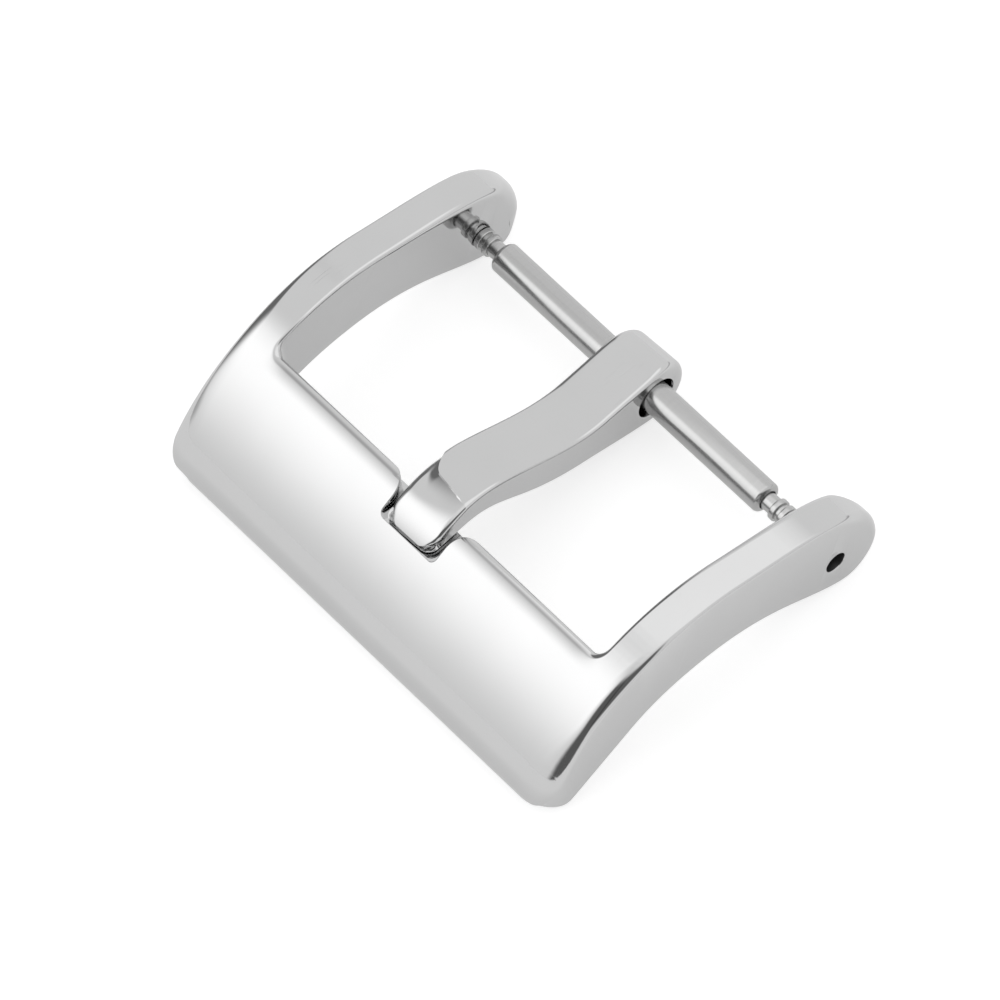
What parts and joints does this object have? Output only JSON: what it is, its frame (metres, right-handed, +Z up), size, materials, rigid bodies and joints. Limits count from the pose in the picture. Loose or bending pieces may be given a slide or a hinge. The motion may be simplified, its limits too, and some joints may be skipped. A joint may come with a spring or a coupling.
{
  "type": "watch buckle",
  "caption": "Pin buckle for a 20 mm watch strap: a curved frame with a let-in seat, a tongue and a sprung strap bar.",
  "frame": {"origin": "middle of the footprint, on the surface that the buckle lies on", "axes": "+X along the strap bar, +Y from the front plate towards the ears and the strap, +Z up"},
  "size_m": [0.0234, 0.0186, 0.0065],
  "materials": {
    "polished_steel": "polished",
    "satin_steel": "satin",
    "spring_steel": "drawn wire"
  },
  "bodies": {
    "frame": {"frame": "polished_steel"},
    "tongue": {"tongue": "polished_steel"},
    "bar": {"bar_tube": "satin_steel", "coil_spring": "spring_steel"},
    "plunger_left": {"plunger_left": "satin_steel"},
    "plunger_right": {"plunger_right": "satin_steel"}
  },
  "joints": [
    {"name": "tongue_pivot", "type": "hinge", "parent": "frame", "child": "tongue", "pos_m": [0, 0.00681, 0.00195], "axis": [-1, 0, 0], "range_deg": [0, 335]},
    {"name": "bar_spin", "type": "hinge", "parent": "frame", "child": "bar", "pos_m": [0, 0.00681, 0.00195], "axis": [1, 0, 0], "continuous": true},
    {"name": "plunger_left_slide", "type": "slide", "parent": "bar", "child": "plunger_left", "axis": [1, 0, 0], "range_m": [0, 0.0005], "stiffness_N_per_m": 300, "springref_m": -0.0005, "deforming": ["coil_spring"]},
    {"name": "plunger_right_slide", "type": "slide", "parent": "bar", "child": "plunger_right", "axis": [-1, 0, 0], "range_m": [0, 0.0005], "stiffness_N_per_m": 300, "springref_m": -0.0005, "deforming": ["coil_spring"]}
  ]
}
